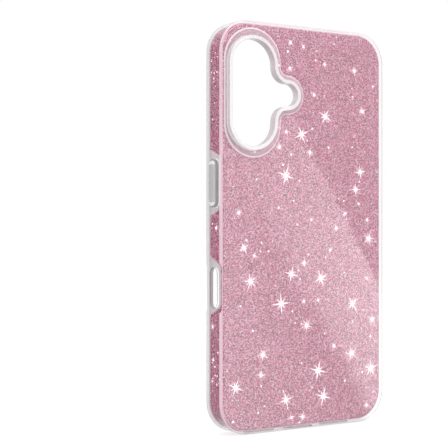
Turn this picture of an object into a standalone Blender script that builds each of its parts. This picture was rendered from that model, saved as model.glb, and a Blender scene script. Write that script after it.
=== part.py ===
"""Glitter phone case: a clear outer shell, a glitter film tray, a clear inner liner and three push buttons.

The case stands on its bottom edge. +Z points to the top of the phone it holds, the decorated back
faces -Y, and the open screen side faces +Y. The origin is at the middle of the bottom of the case.
Inside this script a point is given by its place across the case, its height, and its depth, which
is counted from the flat back towards the screen. "Inset" is the distance in from the outer sides.
"""

import math

import bmesh
import bpy

MM = 0.001

# Outer size of the case
WIDTH = 75.8 * MM
HEIGHT = 151.8 * MM
THICKNESS = 11.0 * MM
CORNER_RADIUS = 12.0 * MM
BACK_EDGE_RADIUS = 1.2 * MM

# Layers, from the outside in: shell, film, liner, then the space for the phone
SHELL_WALL = 0.9 * MM
FILM_WALL = 0.2 * MM
LAYER_GAP = 0.1 * MM
CAVITY_INSET = 1.95 * MM
CAVITY_FLOOR = 2.1 * MM
CAVITY_DEPTH = 7.9 * MM
INNER_EDGE_CENTRE = 2.2 * MM  # inset and depth of the centre that the layers' back edges turn about

# Front rims
SHELL_RIM_DEPTH = 10.6 * MM
SHELL_RIM_WIDTH = 1.2 * MM
SHELL_RIM_FOOT = 9.3 * MM
LIP_INSET = 2.9 * MM
FILM_FRONT = 8.9 * MM

# Camera opening: an upright pill with a round lobe on its inner side for the flash
CAMERA_ACROSS = -24.3 * MM
CAMERA_HEIGHT = 125.2 * MM
CAMERA_RADIUS = 9.25 * MM
CAMERA_HALF_STRAIGHT = 10.4 * MM
LOBE_ACROSS = -8.8 * MM
LOBE_RADIUS = 4.2 * MM
LOBE_FILLET = 6.0 * MM
COLLAR_HEIGHT = 1.2 * MM
COLLAR_RIM = 1.35 * MM
COLLAR_SKIRT = 3.1 * MM
COLLAR_STRETCH = 1.05 * MM
COLLAR_FOOT = 2.0 * MM
CAMERA_CLEARANCE = 0.15 * MM

# Buttons and openings in the sides; heights are above the bottom of the case
SIDE_DEPTH = 6.0 * MM
BUTTON_WIDTH = 4.2 * MM
BUTTON_PROUD = 0.45 * MM
BUTTON_GAP = 0.25 * MM
BUTTON_ROUNDING = 0.3 * MM
FLANGE_MARGIN = 0.45 * MM
FLANGE_THICKNESS = 0.25 * MM
BOSS_MARGIN = -1.0 * MM
BOSS_THICKNESS = 0.25 * MM
LINER_GAP = 0.3 * MM
BUTTONS = (
    ("side_button", -1, 91.9 * MM, 16.8 * MM),
    ("volume_up_button", 1, 102.7 * MM, 10.2 * MM),
    ("volume_down_button", 1, 90.7 * MM, 10.2 * MM),
)
SLOT_WIDTH = 4.4 * MM
SLOTS = (
    ("capture_slot", -1, 53.8 * MM, 14.4 * MM),
    ("action_slot", 1, 117.6 * MM, 7.6 * MM),
)
THUMB_SCOOP_DEPTH = 0.45 * MM
THUMB_SCOOP_FLOOR = 15.4 * MM
THUMB_SCOOP_MOUTH = 18.0 * MM

# Notches that keep the film's skirt clear of buttons and slots: side, middle, back width, front width
NOTCH_BACK = 1.8 * MM
NOTCHES = (
    (-1, 92.2 * MM, 18.9 * MM, 24.5 * MM),
    (-1, 54.5 * MM, 15.0 * MM, 21.8 * MM),
    (1, 96.4 * MM, 23.0 * MM, 26.3 * MM),
    (1, 118.1 * MM, 9.2 * MM, 10.4 * MM),
)

# Openings in the bottom edge: middle across, length, width
BOTTOM_OPENINGS = (
    ("charging_port", 0.0, 12.6 * MM, 6.4 * MM),
    ("left_sound_slot", -17.5 * MM, 13.0 * MM, 2.6 * MM),
    ("right_sound_slot", 17.5 * MM, 13.0 * MM, 2.6 * MM),
)
BOTTOM_NOTCH_BACK = 52.0 * MM
BOTTOM_NOTCH_FRONT = 56.0 * MM

# Resolution of the curves
CORNER_STEPS = 8
EDGE_STEPS = 4
PILL_STEPS = 8
CAMERA_STEPS = 12
LOBE_STEPS = 8
FILLET_STEPS = 5

REACH = 4.0 * MM  # how far cutters run past the surface they cut
Y_OFFSET = -(THICKNESS - COLLAR_HEIGHT) / 2  # Y of the flat back, with the collar in the bounding box


def clear_scene():
    """Removes every object that the file starts with."""
    for item in list(bpy.data.objects):
        bpy.data.objects.remove(item, do_unlink=True)


def material(name, colour, roughness, alpha=1.0, metallic=0.0):
    """A Principled BSDF material."""
    made = bpy.data.materials.new(name)
    made.use_nodes = True
    shader = made.node_tree.nodes["Principled BSDF"]
    shader.inputs["Base Color"].default_value = (*colour, 1.0)
    shader.inputs["Roughness"].default_value = roughness
    shader.inputs["Metallic"].default_value = metallic
    shader.inputs["Alpha"].default_value = alpha
    return made


def arc(centre_u, centre_v, radius, start, end, steps):
    """Points from the start angle to the end angle, in degrees, both ends included."""
    points = []
    for step in range(steps + 1):
        angle = math.radians(start + (end - start) * step / steps)
        points.append((centre_u + radius * math.cos(angle), centre_v + radius * math.sin(angle)))
    return points


def case_outline(inset):
    """(across, height) points round the case, inset from its outer sides."""
    radius = CORNER_RADIUS - inset
    across = WIDTH / 2 - CORNER_RADIUS
    low = CORNER_RADIUS
    high = HEIGHT - CORNER_RADIUS
    points = arc(across, high, radius, 0, 90, CORNER_STEPS)
    points += arc(-across, high, radius, 90, 180, CORNER_STEPS)
    points += arc(-across, low, radius, 180, 270, CORNER_STEPS)
    points += arc(across, low, radius, 270, 360, CORNER_STEPS)
    return points


def camera_outline(offset, stretch=0.0):
    """(across, height) points round the camera opening, grown by offset and lengthened by stretch."""
    radius = CAMERA_RADIUS + offset
    straight = CAMERA_HALF_STRAIGHT + stretch
    fillet_across = CAMERA_ACROSS + CAMERA_RADIUS + LOBE_FILLET
    reach = LOBE_FILLET + LOBE_RADIUS
    rise = math.sqrt(reach**2 - (LOBE_ACROSS - fillet_across) ** 2)
    tangent = math.degrees(math.atan2(rise, LOBE_ACROSS - fillet_across))
    fillet = LOBE_FILLET - offset
    points = arc(CAMERA_ACROSS, CAMERA_HEIGHT + straight, radius, 0, 180, CAMERA_STEPS)
    points += arc(CAMERA_ACROSS, CAMERA_HEIGHT - straight, radius, 180, 360, CAMERA_STEPS)
    points += arc(fillet_across, CAMERA_HEIGHT - rise, fillet, 180, tangent, FILLET_STEPS)
    lobe = arc(
        LOBE_ACROSS, CAMERA_HEIGHT, LOBE_RADIUS + offset, tangent - 180, 180 - tangent, LOBE_STEPS
    )
    points += lobe[1:-1]
    points += arc(fillet_across, CAMERA_HEIGHT + rise, fillet, -tangent, -180, FILLET_STEPS)
    return points


def pill_outline(length, width, offset=0.0):
    """(along, across) points round a slot shape, grown by offset."""
    radius = width / 2 + offset
    straight = (length - width) / 2
    points = arc(straight, 0, radius, -90, 90, PILL_STEPS)
    points += arc(-straight, 0, radius, 90, 270, PILL_STEPS)
    return points


def facing_screen(across, height, depth):
    """A point of an outline that lies in the plane of the screen."""
    return (across, depth + Y_OFFSET, height)


def loft(name, rings, look):
    """A closed solid through rings of points, with a flat cap on the first and the last."""
    mesh = bpy.data.meshes.new(name)
    shape = bmesh.new()
    loops = [[shape.verts.new(point) for point in ring] for ring in rings]
    count = len(loops[0])
    for lower, upper in zip(loops, loops[1:]):
        for i in range(count):
            j = (i + 1) % count
            shape.faces.new((lower[i], lower[j], upper[j], upper[i]))
    shape.faces.new(loops[0])
    shape.faces.new(loops[-1])
    bmesh.ops.recalc_face_normals(shape, faces=shape.faces)
    shape.to_mesh(mesh)
    shape.free()
    mesh.shade_smooth()
    mesh.set_sharp_from_angle(angle=math.radians(35))
    item = bpy.data.objects.new(name, mesh)
    bpy.context.scene.collection.objects.link(item)
    if look:
        mesh.materials.append(look)
    return item


def tray(name, profile, look):
    """A closed solid from (inset, depth) pairs, each a ring parallel to the case's outline."""
    rings = []
    for inset, depth in profile:
        rings.append([facing_screen(x, z, depth) for x, z in case_outline(inset)])
    return loft(name, rings, look)


def guide(item):
    """Marks a solid that only shapes another one."""
    item.hide_render = True
    item.display_type = "WIRE"
    return item


def combine(target, other, operation):
    """Joins or cuts target with another solid."""
    step = target.modifiers.new(f"{operation.lower()}_{other.name}", "BOOLEAN")
    step.operation = operation
    step.object = other
    step.solver = "EXACT"


def camera_prism(name, offset, start, end):
    """A solid of the camera opening's outline between two depths."""
    rings = []
    for depth in (start, end):
        rings.append([facing_screen(x, z, depth) for x, z in camera_outline(offset)])
    return guide(loft(name, rings, None))


def side_prism(name, side, points, start, end):
    """A solid from (height, depth) points that runs through a side wall between two insets."""
    rings = []
    for inset in (start, end):
        rings.append([facing_screen(side * (WIDTH / 2 - inset), z, d) for z, d in points])
    return guide(loft(name, rings, None))


def side_slot(name, side, height, length, width, offset):
    """A slot-shaped cutter through a side wall."""
    points = [
        (height + along, SIDE_DEPTH + across)
        for along, across in pill_outline(length, width, offset)
    ]
    return side_prism(name, side, points, -REACH, CAVITY_INSET + REACH / 4)


def bottom_slot(name, middle, length, width, offset):
    """A slot-shaped cutter through the bottom edge."""
    rings = []
    for height in (-REACH, CAVITY_INSET + REACH / 4):
        ring = []
        for along, across in pill_outline(length, width, offset):
            ring.append(facing_screen(middle + along, height, SIDE_DEPTH + across))
        rings.append(ring)
    return guide(loft(name, rings, None))


def edge_profile(radius, centre, start, end):
    """(inset, depth) pairs of a rounded back edge about one centre."""
    return arc(centre, centre, radius, start, end, EDGE_STEPS)


def make_shell(look):
    """The clear outer shell with its camera collar and its openings."""
    outer = edge_profile(BACK_EDGE_RADIUS, BACK_EDGE_RADIUS, 270, 180)
    half_rim = SHELL_RIM_WIDTH / 2
    rim = arc(half_rim, SHELL_RIM_DEPTH - half_rim, half_rim, 180, 0, EDGE_STEPS)
    foot = [(SHELL_RIM_WIDTH, SHELL_RIM_FOOT), (SHELL_WALL, SHELL_RIM_FOOT - LAYER_GAP * 2)]
    inner = edge_profile(INNER_EDGE_CENTRE - SHELL_WALL, INNER_EDGE_CENTRE, 180, 270)
    shell = tray("outer_shell", outer + rim + foot + inner, look)

    slope = (COLLAR_SKIRT - COLLAR_RIM) / COLLAR_HEIGHT
    buried = SHELL_WALL / 2
    root = COLLAR_SKIRT + slope * buried / 2
    levels = (
        (COLLAR_RIM, COLLAR_FOOT, 0.0),
        (COLLAR_RIM, buried, 0.0),
        (root, buried, COLLAR_STRETCH),
        (root, buried / 2, COLLAR_STRETCH),
        (COLLAR_SKIRT, 0.0, COLLAR_STRETCH),
        (COLLAR_RIM + slope * COLLAR_HEIGHT / 6, -COLLAR_HEIGHT * 5 / 6, COLLAR_STRETCH / 6),
        (COLLAR_RIM, -COLLAR_HEIGHT, 0.0),
    )
    rings = []
    for offset, depth, stretch in levels:
        outline = camera_outline(offset, stretch)
        rings.append([facing_screen(x, z, depth) for x, z in outline])
    combine(shell, guide(loft("collar_guide", rings, None)), "UNION")
    combine(shell, camera_prism("camera_cutter", 0.0, -REACH, REACH), "DIFFERENCE")

    scoop_name, scoop_side, scoop_height, _ = SLOTS[0]
    widening = (THUMB_SCOOP_MOUTH - THUMB_SCOOP_FLOOR) / THUMB_SCOOP_DEPTH
    mouth = (THUMB_SCOOP_MOUTH + widening * REACH) / 2
    scoop_rings = []
    for depth in (-REACH, THICKNESS + REACH):
        section = (
            (-REACH, scoop_height - mouth),
            (THUMB_SCOOP_DEPTH, scoop_height - THUMB_SCOOP_FLOOR / 2),
            (THUMB_SCOOP_DEPTH, scoop_height + THUMB_SCOOP_FLOOR / 2),
            (-REACH, scoop_height + mouth),
        )
        scoop_rings.append(
            [facing_screen(scoop_side * (WIDTH / 2 - inset), z, depth) for inset, z in section]
        )
    combine(shell, guide(loft(f"{scoop_name}_scoop", scoop_rings, None)), "DIFFERENCE")

    for name, side, height, length in BUTTONS:
        cutter = side_slot(f"{name}_window", side, height, length, BUTTON_WIDTH, BUTTON_GAP)
        combine(shell, cutter, "DIFFERENCE")
    for name, side, height, length in SLOTS:
        combine(shell, side_slot(name, side, height, length, SLOT_WIDTH, 0.0), "DIFFERENCE")
    for name, middle, length, width in BOTTOM_OPENINGS:
        combine(shell, bottom_slot(name, middle, length, width, 0.0), "DIFFERENCE")
    return shell


def make_film(look):
    """The glitter film: a thin tray whose skirt is notched at each button and opening."""
    outside = SHELL_WALL + LAYER_GAP
    inside = outside + FILM_WALL
    profile = edge_profile(INNER_EDGE_CENTRE - outside, INNER_EDGE_CENTRE, 270, 180)
    profile += [(outside, FILM_FRONT), (inside, FILM_FRONT)]
    profile += edge_profile(INNER_EDGE_CENTRE - inside, INNER_EDGE_CENTRE, 180, 270)
    film = tray("glitter_film", profile, look)
    hole = camera_prism("film_camera_cutter", COLLAR_RIM + CAMERA_CLEARANCE, -REACH, REACH)
    combine(film, hole, "DIFFERENCE")

    overrun = (FILM_FRONT + REACH - NOTCH_BACK) / (FILM_FRONT - NOTCH_BACK)
    for number, (side, middle, back, front) in enumerate(NOTCHES):
        wide = (back + (front - back) * overrun) / 2
        points = (
            (middle - back / 2, NOTCH_BACK),
            (middle + back / 2, NOTCH_BACK),
            (middle + wide, FILM_FRONT + REACH),
            (middle - wide, FILM_FRONT + REACH),
        )
        cutter = side_prism(f"film_notch_{number}", side, points, -REACH, REACH)
        combine(film, cutter, "DIFFERENCE")

    wide = (BOTTOM_NOTCH_BACK + (BOTTOM_NOTCH_FRONT - BOTTOM_NOTCH_BACK) * overrun) / 2
    section = (
        (-BOTTOM_NOTCH_BACK / 2, NOTCH_BACK),
        (BOTTOM_NOTCH_BACK / 2, NOTCH_BACK),
        (wide, FILM_FRONT + REACH),
        (-wide, FILM_FRONT + REACH),
    )
    rings = []
    for height in (-REACH, REACH):
        rings.append([facing_screen(x, height, depth) for x, depth in section])
    combine(film, guide(loft("film_notch_bottom", rings, None)), "DIFFERENCE")
    return film


def make_liner(look):
    """The clear inner liner: it backs the film, and its lip holds the phone in."""
    outside = SHELL_WALL + FILM_WALL + 2 * LAYER_GAP
    lip_under = CAVITY_FLOOR + CAVITY_DEPTH
    lip_top = THICKNESS
    crown = (lip_top - lip_under) * 0.6
    profile = edge_profile(INNER_EDGE_CENTRE - outside, INNER_EDGE_CENTRE, 270, 180)
    profile += arc(outside + crown, lip_top - crown, crown, 180, 90, EDGE_STEPS)
    profile += arc(LIP_INSET - crown / 2, lip_top - crown / 2, crown / 2, 90, 0, EDGE_STEPS)
    profile += [(LIP_INSET, lip_under + crown / 3), (LIP_INSET - crown / 3, lip_under)]
    profile += [(CAVITY_INSET + crown / 3, lip_under), (CAVITY_INSET, lip_under - crown / 3)]
    floor_radius = INNER_EDGE_CENTRE - outside - LAYER_GAP * 3
    corner = (CAVITY_INSET + floor_radius, CAVITY_FLOOR + floor_radius)
    profile += arc(*corner, floor_radius, 180, 270, EDGE_STEPS)
    liner = tray("inner_liner", profile, look)

    hole = camera_prism("liner_camera_cutter", COLLAR_RIM + CAMERA_CLEARANCE, -REACH, REACH)
    combine(liner, hole, "DIFFERENCE")
    for name, side, height, length in BUTTONS:
        margin = FLANGE_MARGIN + LINER_GAP
        cutter = side_slot(f"{name}_liner_window", side, height, length, BUTTON_WIDTH, margin)
        combine(liner, cutter, "DIFFERENCE")
    for name, side, height, length in SLOTS:
        cutter = side_slot(f"{name}_liner", side, height, length, SLOT_WIDTH, LINER_GAP)
        combine(liner, cutter, "DIFFERENCE")
    for name, middle, length, width in BOTTOM_OPENINGS:
        cutter = bottom_slot(f"{name}_liner", middle, length, width, LINER_GAP)
        combine(liner, cutter, "DIFFERENCE")
    return liner


def make_button(name, side, height, length, look):
    """A push button: a pad through the shell, a flange behind it and a boss that meets the phone's key."""
    seat = SHELL_WALL + LAYER_GAP
    back = seat + FLANGE_THICKNESS
    rounding = arc(
        BUTTON_ROUNDING, BUTTON_ROUNDING - BUTTON_PROUD, BUTTON_ROUNDING, 270, 180, EDGE_STEPS
    )
    levels = [(-shrink, inset) for shrink, inset in rounding]
    levels += [(0.0, seat), (FLANGE_MARGIN, seat), (FLANGE_MARGIN, back)]
    levels += [(BOSS_MARGIN, back), (BOSS_MARGIN, back + BOSS_THICKNESS)]
    rings = []
    for offset, inset in levels:
        outline = pill_outline(length, BUTTON_WIDTH, offset)
        rings.append([(-side * inset, across, along) for along, across in outline])
    button = loft(name, rings, look)
    button.location = (side * WIDTH / 2, SIDE_DEPTH + Y_OFFSET, height)
    return button


def main():
    """Builds the case."""
    clear_scene()
    make_shell(material("clear_shell", (0.90, 0.89, 0.91), 0.12, alpha=0.30))
    make_film(material("pink_glitter", (0.62, 0.30, 0.42), 0.35, metallic=0.3))
    make_liner(material("clear_liner", (0.92, 0.90, 0.92), 0.15, alpha=0.30))
    for name, side, height, length in BUTTONS:
        look = material(f"{name}_clear", (0.86, 0.86, 0.88), 0.18, alpha=0.45)
        make_button(name, side, height, length, look)


main()
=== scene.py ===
"""Looks of the glitter phone case: clear moulded layers over a pink glitter film, on a plain pale floor."""

import math
import random

import bmesh
import bpy
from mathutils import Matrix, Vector
from mathutils.kdtree import KDTree

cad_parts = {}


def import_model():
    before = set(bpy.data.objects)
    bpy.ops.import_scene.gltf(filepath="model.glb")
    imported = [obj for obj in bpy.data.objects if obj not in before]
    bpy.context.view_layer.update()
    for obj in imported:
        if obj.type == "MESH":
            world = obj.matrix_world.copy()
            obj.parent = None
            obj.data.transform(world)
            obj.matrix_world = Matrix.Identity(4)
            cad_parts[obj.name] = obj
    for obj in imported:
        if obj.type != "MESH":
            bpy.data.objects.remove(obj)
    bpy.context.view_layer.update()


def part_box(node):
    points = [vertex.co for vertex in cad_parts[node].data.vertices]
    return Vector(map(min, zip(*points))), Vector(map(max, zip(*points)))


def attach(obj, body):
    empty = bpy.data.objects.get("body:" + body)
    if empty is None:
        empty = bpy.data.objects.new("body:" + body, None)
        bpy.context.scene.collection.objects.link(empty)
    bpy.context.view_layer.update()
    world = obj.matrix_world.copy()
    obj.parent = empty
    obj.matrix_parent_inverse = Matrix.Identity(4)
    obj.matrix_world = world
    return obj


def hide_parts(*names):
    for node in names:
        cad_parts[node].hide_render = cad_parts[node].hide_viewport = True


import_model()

MM = 0.001

# The frame gives the outer size and where the flat back lies
SHELL_LOW, SHELL_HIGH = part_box("outer_shell")
_, LINER_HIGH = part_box("inner_liner")
COLLAR_HEIGHT = 1.2 * MM
WIDTH = SHELL_HIGH.x - SHELL_LOW.x
HEIGHT = SHELL_HIGH.z - SHELL_LOW.z
BACK_Y = SHELL_LOW.y + COLLAR_HEIGHT
THICKNESS = LINER_HIGH.y - BACK_Y

# Layers, as in the CAD
CORNER_RADIUS = 12.0 * MM
BACK_EDGE_RADIUS = 1.2 * MM
SHELL_WALL = 0.9 * MM
FILM_WALL = 0.2 * MM
LAYER_GAP = 0.1 * MM
CAVITY_INSET = 1.95 * MM
CAVITY_FLOOR = 2.1 * MM
CAVITY_DEPTH = 7.9 * MM
INNER_EDGE_CENTRE = 2.2 * MM
SHELL_RIM_DEPTH = 10.6 * MM
SHELL_RIM_WIDTH = 1.2 * MM
SHELL_RIM_FOOT = 9.3 * MM
LIP_INSET = 2.9 * MM
FILM_FRONT = 8.9 * MM

# Camera opening and its collar
CAMERA_ACROSS = -24.3 * MM
CAMERA_HEIGHT = 125.2 * MM
CAMERA_RADIUS = 9.25 * MM
CAMERA_HALF_STRAIGHT = 10.4 * MM
LOBE_ACROSS = -8.8 * MM
LOBE_RADIUS = 4.2 * MM
LOBE_FILLET = 6.0 * MM
COLLAR_RIM = 1.35 * MM
COLLAR_SKIRT = 3.1 * MM
COLLAR_STRETCH = 1.05 * MM
COLLAR_FOOT = 2.0 * MM
COLLAR_BEAD = 0.38
COLLAR_STEP = 0.22
COLLAR_ROWS = 10
COLLAR_SHOULDER = 0.8
CAMERA_CLEARANCE = 0.15 * MM

# Buttons and openings in the sides and the bottom edge
SIDE_DEPTH = 6.0 * MM
BUTTON_WIDTH = 4.2 * MM
BUTTON_PROUD = 0.45 * MM
BUTTON_GAP = 0.25 * MM
FLANGE_MARGIN = 0.45 * MM
FLANGE_THICKNESS = 0.25 * MM
BOSS_MARGIN = -1.0 * MM
BOSS_THICKNESS = 0.25 * MM
LINER_GAP = 0.3 * MM
BUTTONS = (
    ("side_button", -1, 91.9 * MM, 16.8 * MM),
    ("volume_up_button", 1, 102.7 * MM, 10.2 * MM),
    ("volume_down_button", 1, 90.7 * MM, 10.2 * MM),
)
SLOT_WIDTH = 4.4 * MM
SLOTS = (
    ("capture_slot", -1, 53.8 * MM, 14.4 * MM),
    ("action_slot", 1, 117.6 * MM, 7.6 * MM),
)
SCOOP_DEPTH = 0.45 * MM
SCOOP_FLOOR = 15.4 * MM
SCOOP_MOUTH = 18.0 * MM
NOTCH_BACK = 1.8 * MM
NOTCHES = (
    (-1, 92.2 * MM, 18.9 * MM, 24.5 * MM),
    (-1, 54.5 * MM, 15.0 * MM, 21.8 * MM),
    (1, 96.4 * MM, 23.0 * MM, 26.3 * MM),
    (1, 118.1 * MM, 9.2 * MM, 10.4 * MM),
)
BOTTOM_OPENINGS = (
    ("charging_port", 0.0, 12.6 * MM, 6.4 * MM),
    ("left_sound_slot", -17.5 * MM, 13.0 * MM, 2.6 * MM),
    ("right_sound_slot", 17.5 * MM, 13.0 * MM, 2.6 * MM),
)
BOTTOM_NOTCH_BACK = 52.0 * MM
BOTTOM_NOTCH_FRONT = 56.0 * MM
REACH = 4.0 * MM

# How far the outer edges of the holes are rounded
CAMERA_ROUNDING = 0.25 * MM
WINDOW_ROUNDING = 0.2 * MM
SLOT_ROUNDING = 0.35 * MM
BOTTOM_ROUNDING = 0.25 * MM
PAD_ROUNDING = 0.4 * MM
PAD_END_WIDTH = 1.2 * MM
HOLE_DEPTH = CAVITY_INSET + 1.0 * MM

# Camera
VIEW_AZIMUTH = 32.25
VIEW_TILT = 0.08
VIEW_LENS = 92.4
VIEW_POINT = Vector((-0.2578, BACK_Y - 0.3505, 0.0765))


# ---------------------------------------------------------------- outlines and solids


def arc(u, v, radius, start, end, steps):
    """Points from the start angle to the end angle, in degrees, both ends included."""
    angles = [math.radians(start + (end - start) * i / steps) for i in range(steps + 1)]
    return [(u + radius * math.cos(a), v + radius * math.sin(a)) for a in angles]


def case_outline(inset, steps=20):
    """(across, height) points round the case, inset from its outer sides."""
    radius = CORNER_RADIUS - inset
    across = WIDTH / 2 - CORNER_RADIUS
    high = HEIGHT - CORNER_RADIUS
    points = arc(across, high, radius, 0, 90, steps)
    points += arc(-across, high, radius, 90, 180, steps)
    points += arc(-across, CORNER_RADIUS, radius, 180, 270, steps)
    points += arc(across, CORNER_RADIUS, radius, 270, 360, steps)
    return points


def camera_outline(offset, stretch=0.0):
    """(across, height) points round the camera opening, grown by offset and lengthened by stretch."""
    radius = CAMERA_RADIUS + offset
    straight = CAMERA_HALF_STRAIGHT + stretch
    fillet_across = CAMERA_ACROSS + CAMERA_RADIUS + LOBE_FILLET
    reach = LOBE_FILLET + LOBE_RADIUS
    rise = math.sqrt(reach**2 - (LOBE_ACROSS - fillet_across) ** 2)
    tangent = math.degrees(math.atan2(rise, LOBE_ACROSS - fillet_across))
    fillet = LOBE_FILLET - offset
    points = arc(CAMERA_ACROSS, CAMERA_HEIGHT + straight, radius, 0, 180, 40)
    points += arc(CAMERA_ACROSS, CAMERA_HEIGHT - straight, radius, 180, 360, 40)
    points += arc(fillet_across, CAMERA_HEIGHT - rise, fillet, 180, tangent, 14)
    lobe = arc(LOBE_ACROSS, CAMERA_HEIGHT, LOBE_RADIUS + offset, tangent - 180, 180 - tangent, 24)
    points += lobe[1:-1]
    points += arc(fillet_across, CAMERA_HEIGHT + rise, fillet, -tangent, -180, 14)
    return points


def pill_outline(length, width, offset=0.0):
    """(along, across) points round a slot shape, grown by offset."""
    radius = width / 2 + offset
    straight = (length - width) / 2
    return arc(straight, 0, radius, -90, 90, 20) + arc(-straight, 0, radius, 90, 270, 20)


def softened(corners, radii, steps=8):
    """A polygon's points with each corner turned into an arc of its own radius."""
    points = []
    count = len(corners)
    for i, corner in enumerate(corners):
        here = Vector(corner)
        before = (Vector(corners[i - 1]) - here).normalized()
        after = (Vector(corners[(i + 1) % count]) - here).normalized()
        half = before.angle(after) / 2
        reach = radii[i] / math.tan(half)
        start, end = here + before * reach, here + after * reach
        for k in range(steps + 1):
            t = k / steps
            points.append(tuple(start * (1 - t) ** 2 + here * 2 * t * (1 - t) + end * t**2))
    return points


def at(across, height, depth):
    """The place of a point given by its depth from the flat back."""
    return Vector((across, BACK_Y + depth, height))


def loft(name, rings):
    """A closed solid through rings of points, with a flat cap on the first and the last."""
    shape = bmesh.new()
    loops = [[shape.verts.new(point) for point in ring] for ring in rings]
    count = len(loops[0])
    for lower, upper in zip(loops, loops[1:]):
        for i in range(count):
            j = (i + 1) % count
            shape.faces.new((lower[i], lower[j], upper[j], upper[i]))
    shape.faces.new(loops[0])
    shape.faces.new(loops[-1])
    bmesh.ops.recalc_face_normals(shape, faces=shape.faces)
    return as_object(name, shape)


def as_object(name, shape):
    """Turns a bmesh into an object in the scene."""
    mesh = bpy.data.meshes.new(name)
    shape.to_mesh(mesh)
    shape.free()
    item = bpy.data.objects.new(name, mesh)
    bpy.context.scene.collection.objects.link(item)
    return item


def carve(target, *steps):
    """Applies Boolean steps, each an operation and a solid, and removes the solids."""
    for operation, other in steps:
        modifier = target.modifiers.new(operation, "BOOLEAN")
        modifier.operation = operation
        modifier.object = other
        modifier.solver = "EXACT"
    bpy.context.view_layer.update()
    evaluated = target.evaluated_get(bpy.context.evaluated_depsgraph_get())
    mesh = bpy.data.meshes.new_from_object(evaluated)
    target.modifiers.clear()
    target.data = mesh
    for _, other in steps:
        bpy.data.objects.remove(other, do_unlink=True)


def smooth(item, angle=38.0):
    """Smooth shading with crisp edges past the angle, and large flats kept flat."""
    mesh = item.data
    mesh.shade_smooth()
    mesh.set_sharp_from_angle(angle=math.radians(angle))
    weighted = item.modifiers.new("weighted_normals", "WEIGHTED_NORMAL")
    weighted.keep_sharp = True
    weighted.weight = 100


def tray(name, profile):
    """A closed solid from (inset, depth) pairs, each a ring parallel to the case's outline."""
    return loft(name, [[at(x, z, depth) for x, z in case_outline(inset)] for inset, depth in profile])


def side_solid(name, side, levels, outline):
    """A solid through a side wall: levels are (offset, inset), outline gives (height, depth) points."""
    rings = []
    for offset, inset in levels:
        rings.append([at(side * (WIDTH / 2 - inset), z, d) for z, d in outline(offset)])
    return loft(name, rings)


def mouth(rounding, deep):
    """(offset, inset) levels of a hole whose outer edge is rounded."""
    levels = [(rounding, -REACH)]
    for offset, inset in arc(rounding, rounding, rounding, 270, 180, 6):
        levels.append((offset, inset))
    return [(max(offset, 0.0), inset) for offset, inset in levels] + [(0.0, deep)]


def slot_outline(height, length, width):
    """A function of offset that gives a slot's (height, depth) points."""
    return lambda offset: [
        (height + along, SIDE_DEPTH + across) for along, across in pill_outline(length, width, offset)
    ]


def bottom_slot(name, middle, length, width, levels):
    """A slot-shaped solid through the bottom edge."""
    rings = []
    for offset, inset in levels:
        outline = pill_outline(length, width, offset)
        rings.append([at(middle + along, inset, SIDE_DEPTH + across) for along, across in outline])
    return loft(name, rings)


# ---------------------------------------------------------------- materials


class Tree:
    """A small helper for wiring a material's nodes."""

    def __init__(self, name):
        self.material = bpy.data.materials.new(name)
        self.material.use_nodes = True
        self.nodes = self.material.node_tree.nodes
        self.links = self.material.node_tree.links
        self.nodes.clear()

    def add(self, kind, **values):
        """A node with its properties set."""
        node = self.nodes.new(f"ShaderNode{kind}")
        for key, value in values.items():
            setattr(node, key, value)
        return node

    def put(self, node, socket, value):
        """Sets a socket to a value, or links it to another node's socket."""
        if isinstance(value, bpy.types.NodeSocket):
            self.links.new(value, node.inputs[socket])
        else:
            node.inputs[socket].default_value = value
        return node

    def maths(self, operation, a, b=0.5):
        """A Math node's output."""
        node = self.add("Math", operation=operation)
        self.put(node, 0, a)
        self.put(node, 1, b)
        return node.outputs[0]

    def ramp(self, value, stops):
        """A Color Ramp's output: stops are (position, colour)."""
        node = self.add("ValToRGB")
        elements = node.color_ramp.elements
        while len(elements) < len(stops):
            elements.new(0.5)
        for element, (position, colour) in zip(elements, stops):
            element.position = position
            element.color = (*colour, 1.0)
        self.links.new(value, node.inputs["Fac"])
        return node.outputs["Color"]

    def finish(self, shader):
        """Wires the last shader to the output."""
        output = self.add("OutputMaterial")
        self.links.new(shader, output.inputs["Surface"])
        return self.material


def noise(tree, scale, detail=2.0, roughness=0.5):
    """A noise value between 0 and 1 in the object's own space."""
    coordinates = tree.add("TexCoord")
    texture = tree.add("TexNoise")
    tree.put(texture, "Vector", coordinates.outputs["Object"])
    tree.put(texture, "Scale", scale)
    tree.put(texture, "Detail", detail)
    tree.put(texture, "Roughness", roughness)
    return texture.outputs["Fac"]


PLASTIC_IOR = 1.47
PLASTIC_WAVE_SCALE = 120.0
PLASTIC_WAVE_HEIGHT = 0.4 * MM
COAT_SQUARE_ON = 0.035
COAT_ALONG = 0.9
FLAKE_SCALE = 3300.0
FLAKE_TILT = 0.7
DRIFT_SCALE = 420.0
DRIFT_AMOUNT = 0.12


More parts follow.
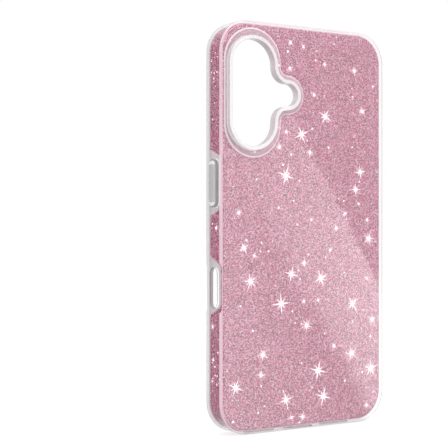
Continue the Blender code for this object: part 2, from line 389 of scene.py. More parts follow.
def clear_plastic(name, milk_low, milk_high, tint, roughness, painted_glow=0.0):
    """Clear moulded plastic: see-through, with a milky body, gloss and a soft uneven surface.

    The milk goes from low where the surface is seen square on to high where it is seen along, and
    there it also greys. The painted glow is an emission that makes the plastic glow though it is no
    lamp, fading where the surface is seen along.
    """
    tree = Tree(name)
    wave = noise(tree, PLASTIC_WAVE_SCALE, 3.0)
    bump = tree.add("Bump")
    tree.put(bump, "Strength", 0.04)
    tree.put(bump, "Distance", PLASTIC_WAVE_HEIGHT)
    tree.put(bump, "Height", wave)
    facing = tree.add("LayerWeight")
    tree.put(facing, "Blend", 0.5)
    tree.put(facing, "Normal", bump.outputs["Normal"])
    along = tree.maths("POWER", facing.outputs["Facing"], 2.0)
    greyed = [channel * 0.5 for channel in tint]
    body = tree.add("BsdfPrincipled")
    tree.put(body, "Base Color", tree.ramp(along, ((0.0, tint), (0.8, greyed))))
    tree.put(body, "Roughness", roughness)
    tree.put(body, "IOR", PLASTIC_IOR)
    tree.put(body, "Normal", bump.outputs["Normal"])
    tree.put(body, "Emission Color", (*tint, 1.0))
    # Painted glow: an emission that makes the plastic glow though it is no lamp, fading where seen along.
    if painted_glow:
        faded = tree.maths("MULTIPLY_ADD", along, -painted_glow)
        tree.put(faded.node, 2, painted_glow)
        tree.put(body, "Emission Strength", faded)
    clear = tree.add("BsdfTransparent")
    cloud = tree.add("MapRange")
    tree.put(cloud, "Value", facing.outputs["Facing"])
    tree.put(cloud, "To Min", milk_low)
    tree.put(cloud, "To Max", milk_high)
    milky = tree.add("MixShader")
    tree.put(milky, 0, cloud.outputs["Result"])
    tree.put(milky, 1, clear.outputs[0])
    tree.put(milky, 2, body.outputs[0])
    gloss = tree.add("BsdfGlossy")
    tree.put(gloss, "Color", (1.0, 1.0, 1.0, 1.0))
    tree.put(gloss, "Roughness", roughness * 0.5)
    tree.put(gloss, "Normal", bump.outputs["Normal"])
    # Schlick's curve, the same for rays from either side of the thin wall
    grazing = tree.maths("POWER", facing.outputs["Facing"], 5.0)
    mirrored = tree.maths("MULTIPLY_ADD", grazing, COAT_ALONG)
    tree.put(mirrored.node, 2, COAT_SQUARE_ON)
    coat = tree.add("MixShader")
    tree.put(coat, 0, mirrored)
    tree.put(coat, 1, milky.outputs[0])
    tree.put(coat, 2, gloss.outputs[0])
    return tree.finish(coat.outputs[0])


def glitter(name, deep, middle, pale, spark):
    """Packed glitter: each flake has its own tone and its own tilt."""
    tree = Tree(name)
    coordinates = tree.add("TexCoord")
    flakes = tree.add("TexVoronoi")
    tree.put(flakes, "Vector", coordinates.outputs["Object"])
    tree.put(flakes, "Scale", FLAKE_SCALE)
    split = tree.add("SeparateColor")
    tree.put(split, "Color", flakes.outputs["Color"])
    drift = noise(tree, DRIFT_SCALE, 3.0, 0.6)
    tone = tree.maths("MULTIPLY_ADD", drift, DRIFT_AMOUNT)
    tree.put(tone.node, 2, -DRIFT_AMOUNT / 2)
    mixed = tree.maths("ADD", split.outputs[0], tone)
    colour = tree.ramp(mixed, ((0.16, deep), (0.42, middle), (0.70, pale), (0.90, spark)))
    tilt = tree.add("VectorMath", operation="SUBTRACT")
    tree.put(tilt, 0, flakes.outputs["Color"])
    tree.put(tilt, 1, (0.5, 0.5, 0.5))
    scaled = tree.add("VectorMath", operation="SCALE")
    tree.put(scaled, 0, tilt.outputs[0])
    tree.put(scaled, "Scale", FLAKE_TILT)
    geometry = tree.add("NewGeometry")
    leaning = tree.add("VectorMath", operation="ADD")
    tree.put(leaning, 0, geometry.outputs["Normal"])
    tree.put(leaning, 1, scaled.outputs[0])
    normal = tree.add("VectorMath", operation="NORMALIZE")
    tree.put(normal, 0, leaning.outputs[0])
    body = tree.add("BsdfPrincipled")
    tree.put(body, "Base Color", colour)
    tree.put(body, "Metallic", 0.25)
    tree.put(body, "Specular IOR Level", 0.15)
    tree.put(body, "Roughness", 0.38)
    tree.put(body, "Normal", normal.outputs[0])
    return tree.finish(body.outputs[0])


def sparkle_white(name):
    """A painted glint that glows though it is no lamp, for the bright mirror face of a large flake,
    brightest in the middle of its star.
    """
    tree = Tree(name)
    body = tree.add("BsdfPrincipled")
    tree.put(body, "Base Color", (0.98, 0.93, 0.95, 1.0))
    tree.put(body, "Roughness", 0.25)
    tree.put(body, "Emission Color", (1.0, 0.95, 0.97, 1.0))
    tree.put(body, "Emission Strength", 0.75)
    clear = tree.add("BsdfTransparent")
    glow = tree.add("Attribute", attribute_name="glow")
    mix = tree.add("MixShader")
    tree.put(mix, 0, glow.outputs["Fac"])
    tree.put(mix, 1, clear.outputs[0])
    tree.put(mix, 2, body.outputs[0])
    return tree.finish(mix.outputs[0])


# Painted glow: a last number above zero is an emission that makes that look glow though it is no lamp.
CLEAR_BACK = clear_plastic("clear_back", 0.11, 0.17, (0.97, 0.93, 0.96), 0.05)
CLEAR_WALL = clear_plastic("clear_wall", 0.0, 0.04, (0.80, 0.79, 0.81), 0.06)
CLEAR_SLOPE = clear_plastic("clear_slope", 0.30, 0.50, (0.96, 0.91, 0.97), 0.08, 0.08)
# Painted highlight: the rounded back edge is made whiter and glowing for the bright line light makes on it.
EDGE_HIGHLIGHT = clear_plastic("edge_highlight", 0.66, 0.90, (1.0, 0.80, 0.88), 0.10, 0.36)
# Painted highlight: the bright line along the foot of the camera collar.
BEAD_HIGHLIGHT = clear_plastic("bead_highlight", 0.70, 0.88, (1.0, 0.90, 0.94), 0.10, 0.26)
CLEAR_RIM = clear_plastic("clear_rim", 0.82, 0.95, (0.99, 0.96, 0.98), 0.12, 0.10)
FRONT_RIM = clear_plastic("front_rim", 0.60, 0.85, (0.97, 0.92, 0.94), 0.10, 0.12)
# Painted shade: the dark grey walls of the side windows, slots and bottom openings.
SLOT_WALL_SHADE = clear_plastic("slot_wall_shade", 0.80, 0.90, (0.52, 0.50, 0.51), 0.12)
# Painted shade: the camera opening's wall is greyer than its rim so its outline shows, with a faint painted
# glow.
HOLE_WALL_SHADE = clear_plastic("hole_wall_shade", 0.80, 0.92, (0.90, 0.82, 0.84), 0.12, 0.03)
LINER_CLEAR = clear_plastic("liner_clear", 0.08, 0.30, (0.80, 0.80, 0.82), 0.10)
LINER_SIDE = clear_plastic("liner_side", 0.70, 0.85, (0.90, 0.82, 0.84), 0.12, 0.12)
LINER_RIM = clear_plastic("liner_rim", 0.60, 0.85, (0.82, 0.79, 0.80), 0.10, 0.05)
BUTTON_CLEAR = clear_plastic("button_clear", 0.60, 0.80, (0.90, 0.88, 0.89), 0.10)
# Painted glints: the bright crescent ends of the button pads.
BUTTON_END_GLINT = clear_plastic("button_end_glint", 0.90, 0.95, (1.0, 0.98, 0.99), 0.10, 0.30)
GLITTER = glitter(
    "pink_glitter",
    deep=(0.22, 0.004, 0.040),
    middle=(0.60, 0.052, 0.170),
    pale=(0.93, 0.215, 0.43),
    spark=(1.0, 0.68, 0.88),
)
# Painted glints: white stars and flecks that glow though they are no lamp.
SPARKLE = sparkle_white("sparkle_white")
SHELL_LOOKS = (
    CLEAR_BACK,
    CLEAR_WALL,
    CLEAR_SLOPE,
    EDGE_HIGHLIGHT,
    CLEAR_RIM,
    FRONT_RIM,
    SLOT_WALL_SHADE,
    HOLE_WALL_SHADE,
    BEAD_HIGHLIGHT,
)


# ---------------------------------------------------------------- pieces


def back_edge(radius, centre, start, end):
    """(inset, depth) pairs of a rounded back edge about one centre."""
    return arc(centre, centre, radius, start, end, 8)


def collar_solid():
    """The raised camera collar: a soft step, a clear slope and a flat rim."""
    buried = SHELL_WALL / 2
    levels = [
        (COLLAR_RIM, COLLAR_FOOT, 0.0),
        (COLLAR_RIM, buried, 0.0),
        (COLLAR_SKIRT + 0.25 * MM, buried, COLLAR_STRETCH),
        (COLLAR_SKIRT + 0.12 * MM, 0.05 * MM, COLLAR_STRETCH),
    ]
    for row in range(COLLAR_ROWS + 1):
        t = row / COLLAR_ROWS
        offset = COLLAR_SKIRT - (COLLAR_SKIRT - COLLAR_RIM) * t
        rise = COLLAR_STEP + (1 - COLLAR_STEP) * t
        if t > COLLAR_SHOULDER:
            rise = 1 - (1 - t) ** 2 / 0.4 * (1 - COLLAR_STEP)
        levels.append((offset, -COLLAR_HEIGHT * rise, COLLAR_STRETCH * (1 - t)))
    levels.append((COLLAR_RIM - 0.12 * MM, -COLLAR_HEIGHT, 0.0))
    rings = []
    for offset, depth, stretch in levels:
        rings.append([at(x, z, depth) for x, z in camera_outline(offset, stretch)])
    return loft("collar", rings)


def camera_cutter():
    """The camera opening, with its outer edge rounded."""
    top = -COLLAR_HEIGHT
    levels = [(CAMERA_ROUNDING, top - REACH)]
    for offset, rise in arc(CAMERA_ROUNDING, CAMERA_ROUNDING, CAMERA_ROUNDING, 270, 180, 6):
        levels.append((max(offset, 0.0), top + rise))
    levels.append((0.0, REACH))
    rings = [[at(x, z, depth) for x, z in camera_outline(offset)] for offset, depth in levels]
    return loft("camera_cutter", rings)


def camera_prism(offset):
    """A straight prism of the camera opening's outline through the thin layers."""
    return loft("camera_prism", [[at(x, z, d) for x, z in camera_outline(offset)] for d in (-REACH, REACH)])


def scoop_cutter():
    """The shallow thumb scoop round the capture slot, with softened ends."""
    _, side, height, _ = SLOTS[0]
    widening = (SCOOP_MOUTH - SCOOP_FLOOR) / SCOOP_DEPTH
    wide = (SCOOP_MOUTH + widening * REACH) / 2
    corners = (
        (-REACH, height - wide),
        (SCOOP_DEPTH, height - SCOOP_FLOOR / 2),
        (SCOOP_DEPTH, height + SCOOP_FLOOR / 2),
        (-REACH, height + wide),
    )
    section = softened(corners, (0.1 * MM, 2.5 * MM, 2.5 * MM, 0.1 * MM))
    rings = []
    for depth in (-REACH, THICKNESS + REACH):
        rings.append([at(side * (WIDTH / 2 - inset), z, depth) for inset, z in section])
    return loft("scoop", rings)


def camera_distance(opening, x, z):
    """Distance in the plane of the back from a point to the camera opening's outline."""
    return opening.find((x, 0.0, z))[2]


def outline_tree():
    """A search tree over closely spaced points of the camera opening's outline."""
    points = camera_outline(0.0)
    dense = []
    for i, start in enumerate(points):
        end = points[(i + 1) % len(points)]
        length = math.dist(start, end)
        for k in range(max(1, round(length / (0.2 * MM)))):
            t = k * 0.2 * MM / max(length, 1e-9)
            dense.append((start[0] + (end[0] - start[0]) * t, 0.0, start[1] + (end[1] - start[1]) * t))
    tree = KDTree(len(dense))
    for i, point in enumerate(dense):
        tree.insert(point, i)
    tree.balance()
    return tree


# Borders between the shell's looks: lengths, and how much a face's normal points along the depth
WINDOW_MARGIN_ALONG = 0.6 * MM
WINDOW_MARGIN_ACROSS = 0.7 * MM
BOTTOM_MARGIN = 0.4 * MM
FRONT_RIM_MARGIN = 0.4 * MM
COLLAR_RIM_MARGIN = 0.05 * MM
HOLE_WALL_MARGIN = 0.1 * MM
COLLAR_FLOOR_MARGIN = 0.02 * MM
HOLE_WALL_FACING = 0.3
EDGE_FACING_LOW = 0.05
EDGE_FACING_HIGH = 0.85
BACK_FACING = 0.7
LINER_FACING = 0.5


def in_window(point):
    """True if a point lies in the wall of a side window: a button's or a slot's."""
    if abs(point.x) < WIDTH / 2 - CAVITY_INSET:
        return False
    for _, side, height, length in BUTTONS + SLOTS:
        if side * point.x > 0 and abs(point.z - height) < length / 2 + WINDOW_MARGIN_ALONG:
            return abs(point.y - BACK_Y - SIDE_DEPTH) < BUTTON_WIDTH / 2 + WINDOW_MARGIN_ACROSS
    return False


def in_bottom_opening(point):
    """True if a point lies in the wall of an opening of the bottom edge."""
    if point.z > CAVITY_INSET:
        return False
    for _, middle, length, width in BOTTOM_OPENINGS:
        if abs(point.x - middle) < length / 2 + BOTTOM_MARGIN:
            return abs(point.y - BACK_Y - SIDE_DEPTH) < width / 2 + BOTTOM_MARGIN
    return False


def shell_look(face, mesh, opening):
    """The look of one face of the shell, by where it lies."""
    depth = face.center.y - BACK_Y
    facing = abs(face.normal.y)
    corners = [mesh.vertices[i].co for i in face.vertices]
    if depth > SHELL_RIM_FOOT - FRONT_RIM_MARGIN:
        return FRONT_RIM
    # Painted shade in the walls of the side windows and bottom openings.
    if all(in_window(point) or in_bottom_opening(point) for point in corners + [face.center]):
        return SLOT_WALL_SHADE
    away = max(camera_distance(opening, point.x, point.z) for point in corners)
    if away < COLLAR_RIM + COLLAR_RIM_MARGIN:
        # Painted shade on the camera opening's wall; the rim keeps its milky white with a painted glow.
        return HOLE_WALL_SHADE if away < HOLE_WALL_MARGIN and facing < HOLE_WALL_FACING else CLEAR_RIM
    # Painted highlight on the lower part of the collar, painted glow on its slope.
    if depth < -COLLAR_FLOOR_MARGIN:
        return BEAD_HIGHLIGHT if depth > -COLLAR_HEIGHT * COLLAR_BEAD else CLEAR_SLOPE
    # Painted highlight along the rounded back edge.
    if depth < BACK_EDGE_RADIUS and EDGE_FACING_LOW < facing < EDGE_FACING_HIGH:
        return EDGE_HIGHLIGHT
    return CLEAR_BACK if facing > BACK_FACING else CLEAR_WALL


def build_shell():
    """The clear outer shell."""
    half_rim = SHELL_RIM_WIDTH / 2
    profile = back_edge(BACK_EDGE_RADIUS, BACK_EDGE_RADIUS, 270, 180)
    profile += arc(half_rim, SHELL_RIM_DEPTH - half_rim, half_rim, 180, 0, 12)
    profile += [(SHELL_RIM_WIDTH, SHELL_RIM_FOOT), (SHELL_WALL, SHELL_RIM_FOOT - LAYER_GAP * 2)]
    profile += back_edge(INNER_EDGE_CENTRE - SHELL_WALL, INNER_EDGE_CENTRE, 180, 270)
    shell = tray("case_outer_shell", profile)
    steps = [("UNION", collar_solid()), ("DIFFERENCE", camera_cutter()), ("DIFFERENCE", scoop_cutter())]
    for name, side, height, length in BUTTONS:
        outline = slot_outline(height, length + 2 * BUTTON_GAP, BUTTON_WIDTH + 2 * BUTTON_GAP)
        levels = mouth(WINDOW_ROUNDING, HOLE_DEPTH)
        steps.append(("DIFFERENCE", side_solid(name, side, levels, outline)))
    for name, side, height, length in SLOTS:
        outline = slot_outline(height, length, SLOT_WIDTH)
        rim = SCOOP_DEPTH if side < 0 else 0.0
        levels = [(offset, inset + rim) for offset, inset in mouth(SLOT_ROUNDING, HOLE_DEPTH)]
        steps.append(("DIFFERENCE", side_solid(name, side, levels, outline)))
    for name, middle, length, width in BOTTOM_OPENINGS:
        cutter = bottom_slot(name, middle, length, width, mouth(BOTTOM_ROUNDING, HOLE_DEPTH))
        steps.append(("DIFFERENCE", cutter))
    carve(shell, *steps)

    for look in SHELL_LOOKS:
        shell.data.materials.append(look)
    opening = outline_tree()
    for face in shell.data.polygons:
        face.material_index = SHELL_LOOKS.index(shell_look(face, shell.data, opening))
    smooth(shell)
    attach(shell, "case")
    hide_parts("outer_shell")
    return shell


def notch_points(middle, back, front):
    """(along, depth) points of a film notch: rounded at its floor and slanted to the front edge."""
    deep = FILM_FRONT + REACH
    wide = (back + (front - back) * (deep - NOTCH_BACK) / (FILM_FRONT - NOTCH_BACK)) / 2
    corners = (
        (middle - back / 2, NOTCH_BACK),
        (middle + back / 2, NOTCH_BACK),
        (middle + wide, deep),
        (middle - wide, deep),
    )
    return softened(corners, (1.6 * MM, 1.6 * MM, 0.2 * MM, 0.2 * MM))


def build_film():
    """The glitter film tray with its notched skirt."""
    outside = SHELL_WALL + LAYER_GAP
    inside = outside + FILM_WALL
    profile = back_edge(INNER_EDGE_CENTRE - outside, INNER_EDGE_CENTRE, 270, 180)
    profile += [(outside, FILM_FRONT), (inside, FILM_FRONT)]
    profile += back_edge(INNER_EDGE_CENTRE - inside, INNER_EDGE_CENTRE, 180, 270)
    film = tray("case_glitter_film", profile)
    steps = [("DIFFERENCE", camera_prism(COLLAR_RIM + CAMERA_CLEARANCE))]
    for side, middle, back, front in NOTCHES:
        points = notch_points(middle, back, front)
        rings = []
        for inset in (-REACH, REACH):
            rings.append([at(side * (WIDTH / 2 - inset), z, d) for z, d in points])
        steps.append(("DIFFERENCE", loft("notch", rings)))
    points = notch_points(0.0, BOTTOM_NOTCH_BACK, BOTTOM_NOTCH_FRONT)
    rings = [[at(x, height, d) for x, d in points] for height in (-REACH, REACH)]
    steps.append(("DIFFERENCE", loft("notch", rings)))
    carve(film, *steps)
    film.data.materials.append(GLITTER)
    smooth(film)
    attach(film, "case")
    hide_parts("glitter_film")
    return film


def build_liner():
    """The clear inner liner with its screen lip."""
    outside = SHELL_WALL + FILM_WALL + 2 * LAYER_GAP
    lip_under = CAVITY_FLOOR + CAVITY_DEPTH
    crown = (THICKNESS - lip_under) * 0.6
    profile = back_edge(INNER_EDGE_CENTRE - outside, INNER_EDGE_CENTRE, 270, 180)
    profile += arc(outside + crown, THICKNESS - crown, crown, 180, 90, 8)
    profile += arc(LIP_INSET - crown / 2, THICKNESS - crown / 2, crown / 2, 90, 0, 8)
    profile += [(LIP_INSET, lip_under + crown / 3), (LIP_INSET - crown / 3, lip_under)]
    profile += [(CAVITY_INSET + crown / 3, lip_under), (CAVITY_INSET, lip_under - crown / 3)]
    radius = INNER_EDGE_CENTRE - outside - LAYER_GAP * 3
    profile += arc(CAVITY_INSET + radius, CAVITY_FLOOR + radius, radius, 180, 270, 8)
    liner = tray("case_inner_liner", profile)
    steps = [("DIFFERENCE", camera_prism(COLLAR_RIM + CAMERA_CLEARANCE))]
    straight = ((0.0, -REACH), (0.0, HOLE_DEPTH))
    for name, side, height, length in BUTTONS:
        margin = 2 * (FLANGE_MARGIN + LINER_GAP)
        outline = slot_outline(height, length + margin, BUTTON_WIDTH + margin)
        steps.append(("DIFFERENCE", side_solid(name, side, straight, outline)))
    for name, side, height, length in SLOTS:
        outline = slot_outline(height, length + 2 * LINER_GAP, SLOT_WIDTH + 2 * LINER_GAP)
        steps.append(("DIFFERENCE", side_solid(name, side, straight, outline)))
    for name, middle, length, width in BOTTOM_OPENINGS:
        cutter = bottom_slot(name, middle, length + 2 * LINER_GAP, width + 2 * LINER_GAP, straight)
        steps.append(("DIFFERENCE", cutter))
    carve(liner, *steps)
    looks = (LINER_CLEAR, LINER_SIDE, LINER_RIM)
    for look in looks:
        liner.data.materials.append(look)
    for face in liner.data.polygons:
        look = LINER_SIDE if abs(face.normal.y) < LINER_FACING else LINER_CLEAR
        if face.center.y - BACK_Y > SHELL_RIM_FOOT:
            look = LINER_RIM
        face.material_index = looks.index(look)
    smooth(liner)
    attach(liner, "case")
    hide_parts("inner_liner")
    return liner


def build_button(name, side, height, length):
    """A button pad with a soft crown and ends brightened by a painted glint, its flange and the boss behind
    it.
    """
    seat = SHELL_WALL + LAYER_GAP
    back = seat + FLANGE_THICKNESS
    levels = [(-PAD_END_WIDTH, -BUTTON_PROUD)]
    levels += arc(-PAD_ROUNDING, PAD_ROUNDING - BUTTON_PROUD, PAD_ROUNDING, 270, 360, 8)
    levels += [(0.0, seat), (FLANGE_MARGIN, seat), (FLANGE_MARGIN, back)]
    levels += [(BOSS_MARGIN, back), (BOSS_MARGIN, back + BOSS_THICKNESS)]
    outline = slot_outline(height, length, BUTTON_WIDTH)
    pad = side_solid(f"{name}_pad", side, levels, outline)
    pad.data.materials.append(BUTTON_CLEAR)
    pad.data.materials.append(BUTTON_END_GLINT)
    straight = (length - BUTTON_WIDTH) / 2
    for face in pad.data.polygons:
        # Painted glint on the crescent faces at each end of the pad.
        glint_end = abs(face.center.z - height) > straight + 0.5 * MM
        if glint_end and side * face.center.x > WIDTH / 2:
            face.material_index = 1
    smooth(pad)
    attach(pad, name)
    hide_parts(name)
    return pad


# Painted glints: shares of a star's size, and how bright it glows from its middle out
GLINT_HALF_THICKNESS = 0.016 * MM
MIDDLE_GLOW = 0.95
CORE_GLOW = 0.78
LONG_RAY_GLOW = 0.80
SHORT_RAY_GLOW = 0.5
RAY_END_GLOW = 0.30
FLECK_GLOW = 0.9
FLECK_RIM_GLOW = 0.12
FLECK_SIDES = 5
STAR_BODY = 0.46
STAR_SHORT_RAY = 0.75
STAR_LONG_RAY = 1.15
STAR_VALLEY = 0.25


def star(shape, layer, centre, axes, size, rays, turn, core):
    """A painted star glint, flat and star-shaped: a bright core in a soft glow, with long and short rays
    that fade out.
    """
    right, up, out = axes
    half = GLINT_HALF_THICKNESS
    count = rays * 2
    cores, bodies, ends = ([], []), ([], []), []

    def point(direction, reach, lift, glow):
        """A vertex at a share of the star's size from its centre, with its glow."""
        vertex = shape.verts.new(centre + direction * size * reach + out * lift)
        vertex[layer] = glow
        return vertex

    for i in range(count):
        angle = turn + math.pi * i / rays
        direction = right * math.cos(angle) + up * math.sin(angle)
        long = i % 4 == 0
        for side, lift in ((0, half), (1, -half)):
            cores[side].append(point(direction, core, lift * 0.8, CORE_GLOW))
            if i % 2 == 0:
                glow = LONG_RAY_GLOW if long else SHORT_RAY_GLOW
                bodies[side].append(point(direction, STAR_BODY, lift * 0.4, glow))
            else:
                bodies[side].append(None)
        if i % 2 == 0:
            ends.append(point(direction, STAR_LONG_RAY if long else STAR_SHORT_RAY, 0.0, RAY_END_GLOW))
        else:
            ends.append(point(direction, STAR_VALLEY, 0.0, 0.0))
    for side, lift in ((0, half), (1, -half)):
        middle = point(right, 0.0, lift, MIDDLE_GLOW)
        core_ring, body_ring = cores[side], bodies[side]
        for i in range(count):
            shape.faces.new((middle, core_ring[i], core_ring[(i + 1) % count]))
        for i in range(0, count, 2):
            for j in ((i + 1) % count, (i - 1) % count):
                shape.faces.new((core_ring[i], body_ring[i], ends[j]))
                shape.faces.new((core_ring[i], ends[j], core_ring[j]))
                shape.faces.new((body_ring[i], ends[i], ends[j]))


def fleck(shape, layer, centre, axes, size, turn):
    """A small five-sided painted glint, bright in the middle."""
    right, up, out = axes
    half = GLINT_HALF_THICKNESS
    middle = [shape.verts.new(centre + out * side * half) for side in (1, -1)]
    rim = []
    for i in range(FLECK_SIDES):
        angle = turn + math.pi * i * 2 / FLECK_SIDES
        rim.append(shape.verts.new(centre + (right * math.cos(angle) + up * math.sin(angle)) * size))
        rim[-1][layer] = FLECK_RIM_GLOW
    for vertex in middle:
        vertex[layer] = FLECK_GLOW
        for i in range(FLECK_SIDES):
            shape.faces.new((vertex, rim[i], rim[(i + 1) % FLECK_SIDES]))


def clear_of_camera(x, z, opening, room):
    """True if a point on the back is outside the camera opening by at least room."""
    inside_pill = abs(x - CAMERA_ACROSS) < CAMERA_RADIUS and abs(z - CAMERA_HEIGHT) < 20 * MM
    inside_lobe = abs(x - LOBE_ACROSS) < LOBE_RADIUS and abs(z - CAMERA_HEIGHT) < LOBE_RADIUS
    return not inside_pill and not inside_lobe and camera_distance(opening, x, z) > room


def inside_outline(x, z, room):
    """True if a point on the back is inside the case's rounded outline by at least room."""
    across = max(abs(x) - (WIDTH / 2 - CORNER_RADIUS), 0.0)
    high = max(abs(z - HEIGHT / 2) - (HEIGHT / 2 - CORNER_RADIUS), 0.0)
    return math.hypot(across, high) < CORNER_RADIUS - room


SPARKLE_SEED = 11
LARGE_STARS = 20
LARGE_STAR_MM = (2.7, 4.2)
SMALL_STARS = 28
SMALL_STAR_MM = (1.3, 2.4)
BACK_FLECKS = 420
SIDE_FLAKES = 110
STAR_EVERY = 9
PLACING_TRIES = 400


def back_sparkles(source):
    """Painted glints, stars and flecks, between the film and the shell, over the whole back."""
    opening = outline_tree()
    axes = (Vector((1, 0, 0)), Vector((0, 0, 1)), Vector((0, -1, 0)))
    depth = SHELL_WALL + LAYER_GAP / 2
    shape = bmesh.new()
    layer = shape.verts.layers.float.new("glow")
    sizes = [source.uniform(*LARGE_STAR_MM) * MM for _ in range(LARGE_STARS)]
    sizes += [source.uniform(*SMALL_STAR_MM) * MM for _ in range(SMALL_STARS)]
    placed = []
    for size in sizes:
        for _ in range(PLACING_TRIES):
            x = source.uniform(-WIDTH / 2, WIDTH / 2)
            z = source.uniform(0, HEIGHT)
            room = size * 0.85 + 2.0 * MM
            near_camera = not clear_of_camera(x, z, opening, room + 1.5 * MM)
            if near_camera or not inside_outline(x, z, room):
                continue
            if all(math.dist((x, z), (a, b)) > (size + other) * 1.25 for a, b, other in placed):
                break
        placed.append((x, z, size))
        rays = source.choice((8, 8, 10))
        turn = source.uniform(0, math.pi)
        star(shape, layer, at(x, z, depth), axes, size, rays, turn, source.uniform(0.10, 0.14))
    for _ in range(BACK_FLECKS):
        x = source.uniform(-WIDTH / 2, WIDTH / 2)
        z = source.uniform(0, HEIGHT)
        size = (0.15 + 0.45 * source.random() ** 3) * MM
        turn = source.uniform(0, math.pi)
        if inside_outline(x, z, 2.3 * MM) and clear_of_camera(x, z, opening, 1.8 * MM):
            fleck(shape, layer, at(x, z, depth), axes, size, turn)
    bmesh.ops.recalc_face_normals(shape, faces=shape.faces)
    return as_object("back_sparkles", shape)


def side_sparkles(source, side):
    """Painted glints, stars and flecks, in one side's glitter strip, away from its notches."""
    axes = (Vector((0, 1, 0)), Vector((0, 0, 1)), Vector((side, 0, 0)))
    across = side * (WIDTH / 2 - SHELL_WALL - LAYER_GAP / 2)
    shape = bmesh.new()
    layer = shape.verts.layers.float.new("glow")
    gaps = [(middle, front) for at_side, middle, _, front in NOTCHES if at_side == side]
    for i in range(SIDE_FLAKES):
        z = source.uniform(CORNER_RADIUS, HEIGHT - CORNER_RADIUS)
        depth = source.uniform(2.4 * MM, FILM_FRONT - 0.6 * MM)
        turn = source.uniform(0, math.pi)
        size = (0.16 + 0.4 * source.random() ** 3) * MM
        if any(abs(z - middle) < front / 2 + 1.6 * MM for middle, front in gaps):
            continue
        place = Vector((across, BACK_Y + depth, z))
        if i % STAR_EVERY == 0:
            star(shape, layer, place, axes, size * 3.2, 8, turn, 0.22)
        else:
            fleck(shape, layer, place, axes, size, turn)
    bmesh.ops.recalc_face_normals(shape, faces=shape.faces)
    return as_object(f"side_sparkles_{'right' if side > 0 else 'left'}", shape)


def build_all():
    """Builds every piece of the case."""
    build_shell()
    build_film()
    build_liner()
    for button in BUTTONS:
        build_button(*button)
    source = random.Random(SPARKLE_SEED)
    for sparkles in (back_sparkles(source), side_sparkles(source, -1), side_sparkles(source, 1)):
        sparkles.data.materials.append(SPARKLE)
        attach(sparkles, "case")


# ---------------------------------------------------------------- stage


SURROUNDINGS_LEFT = 0.56
SURROUNDINGS_RIGHT = 1.02
FLOOR_GREY = 0.35
FLOOR_GLOW = 0.75
CARD_POWER = 4.4
CARD_STRETCH = 2.6


def world():
    """White surroundings: pure white to the camera, softer as a light and dimmer on the left."""
    made = bpy.data.worlds.new("studio")
    bpy.context.scene.world = made
    made.use_nodes = True
    nodes = made.node_tree.nodes
    links = made.node_tree.links
    nodes.clear()
    path = nodes.new("ShaderNodeLightPath")
    seen = nodes.new("ShaderNodeBackground")
    seen.inputs["Color"].default_value = (1.0, 1.0, 1.0, 1.0)
    lit = nodes.new("ShaderNodeBackground")
    lit.inputs["Color"].default_value = (1.0, 1.0, 1.0, 1.0)
    around = nodes.new("ShaderNodeTexCoord")
    split = nodes.new("ShaderNodeSeparateXYZ")
    links.new(around.outputs["Generated"], split.inputs[0])
    slope = nodes.new("ShaderNodeMapRange")
    slope.inputs["From Min"].default_value = -1.0
    slope.inputs["To Min"].default_value = SURROUNDINGS_LEFT
    slope.inputs["To Max"].default_value = SURROUNDINGS_RIGHT
    links.new(split.outputs["X"], slope.inputs["Value"])
    links.new(slope.outputs["Result"], lit.inputs["Strength"])
    mix = nodes.new("ShaderNodeMixShader")
    output = nodes.new("ShaderNodeOutputWorld")
    links.new(path.outputs["Is Camera Ray"], mix.inputs[0])
    links.new(lit.outputs[0], mix.inputs[1])
    links.new(seen.outputs[0], mix.inputs[2])
    links.new(mix.outputs[0], output.inputs["Surface"])


def floor():
    """A plain pale floor that meets the white surroundings without a line."""
    shape = bmesh.new()
    bmesh.ops.create_circle(shape, cap_ends=True, radius=6.0, segments=96)
    item = as_object("floor", shape)
    item.location.z = SHELL_LOW.z - 0.2 * MM
    tree = Tree("floor_white")
    diffuse = tree.add("BsdfDiffuse")
    tree.put(diffuse, "Color", (FLOOR_GREY, FLOOR_GREY, FLOOR_GREY, 1.0))
    path = tree.add("LightPath")
    glow = tree.add("Emission")
    tree.put(glow, "Strength", tree.maths("MULTIPLY", path.outputs["Is Camera Ray"], FLOOR_GLOW))
    both = tree.add("AddShader")
    tree.put(both, 0, diffuse.outputs[0])
    tree.put(both, 1, glow.outputs[0])
    item.data.materials.append(tree.finish(both.outputs[0]))
    item.visible_glossy = False


def area(name, place, target, size, power):
    """A soft rectangular light aimed at a point."""
    data = bpy.data.lights.new(name, "AREA")
    data.shape = "RECTANGLE"
    data.size, data.size_y = size
    data.energy = power
    item = bpy.data.objects.new(name, data)
    bpy.context.scene.collection.objects.link(item)
    item.location = place
    item.rotation_euler = (Vector(target) - Vector(place)).to_track_quat("-Z", "Y").to_euler()
    item.visible_camera = False
    item.visible_glossy = False
    return item


def lights():
    """Soft studio light from the right of the back, and a fill from the screen side."""
    middle = (0.0, 0.0, HEIGHT / 2)
    area("key", (0.30, -0.9, 0.55), middle, (0.7, 0.7), 4.5)
    area("fill", (-0.5, 0.7, 0.4), middle, (0.8, 0.8), 4.0)


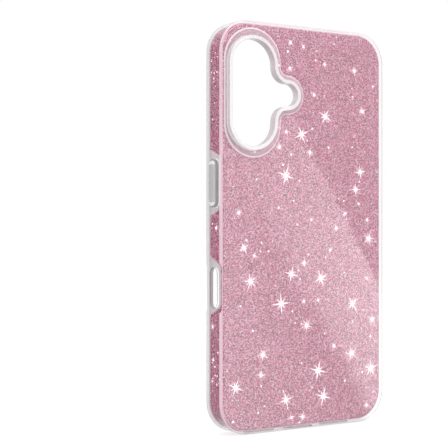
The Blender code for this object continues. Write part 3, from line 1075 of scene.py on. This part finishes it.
def reflection_card():
    """A card that the glossy back mirrors as a slanted band of light, with a sharp upper right edge.

    The columns are distances across the band and the rows distances along it, each with its columns'
    glow. They are millimetres on the back, thrown out from there to where the back mirrors them.
    """
    start = Vector((-4.5, 114.4))
    along = Vector((38.6, -58.3)).normalized()
    over = Vector((along.y, -along.x))
    columns = (-0.4, 0.0, 28.0, 34.0, 60.0, 110.0)
    rows = (
        (-60.0, (0.0, 0.25, 0.30, 0.33, 0.42, 0.50)),
        (0.0, (0.0, 0.42, 0.40, 0.36, 0.42, 0.50)),
        (35.0, (0.0, 0.62, 0.50, 0.30, 0.42, 0.50)),
        (70.0, (0.0, 0.86, 0.60, 0.24, 0.38, 0.50)),
        (110.0, (0.0, 1.00, 0.70, 0.24, 0.34, 0.46)),
        (150.0, (0.0, 1.00, 0.70, 0.26, 0.32, 0.42)),
    )
    mirrored = Vector((VIEW_POINT.x, 2 * BACK_Y - VIEW_POINT.y, VIEW_POINT.z))
    shape = bmesh.new()
    layer = shape.verts.layers.float.new("glow")
    grid = []
    for distance, glows in rows:
        line = []
        for across, glow in zip(columns, glows):
            flat = start + along * distance + over * across
            on_back = Vector((flat.x * MM, BACK_Y, flat.y * MM))
            line.append(shape.verts.new(mirrored + (on_back - mirrored) * CARD_STRETCH))
            line[-1][layer] = glow
        grid.append(line)
    for upper, lower in zip(grid, grid[1:]):
        for i in range(len(upper) - 1):
            shape.faces.new((upper[i], upper[i + 1], lower[i + 1], lower[i]))
    bmesh.ops.subdivide_edges(shape, edges=shape.edges, cuts=3, use_grid_fill=True)
    card = as_object("reflection_card", shape)
    tree = Tree("card_light")
    attribute = tree.add("Attribute", attribute_name="glow")
    light = tree.add("Emission")
    tree.put(light, "Strength", tree.maths("MULTIPLY", attribute.outputs["Fac"], CARD_POWER))
    card.data.materials.append(tree.finish(light.outputs[0]))
    card.visible_camera = False
    card.visible_diffuse = False
    card.visible_transmission = False
    card.visible_shadow = False


def camera():
    """The camera, level with the middle of the case and to the left of its back."""
    data = bpy.data.cameras.new("camera")
    data.lens = VIEW_LENS
    data.sensor_width = 36.0
    data.clip_start = 0.01
    item = bpy.data.objects.new("camera", data)
    bpy.context.scene.collection.objects.link(item)
    item.location = VIEW_POINT
    item.rotation_euler = (math.radians(90 + VIEW_TILT), 0.0, math.radians(-VIEW_AZIMUTH))
    bpy.context.scene.camera = item


build_all()
world()
floor()
lights()
reflection_card()
camera()
bpy.context.scene.view_settings.view_transform = "Standard"
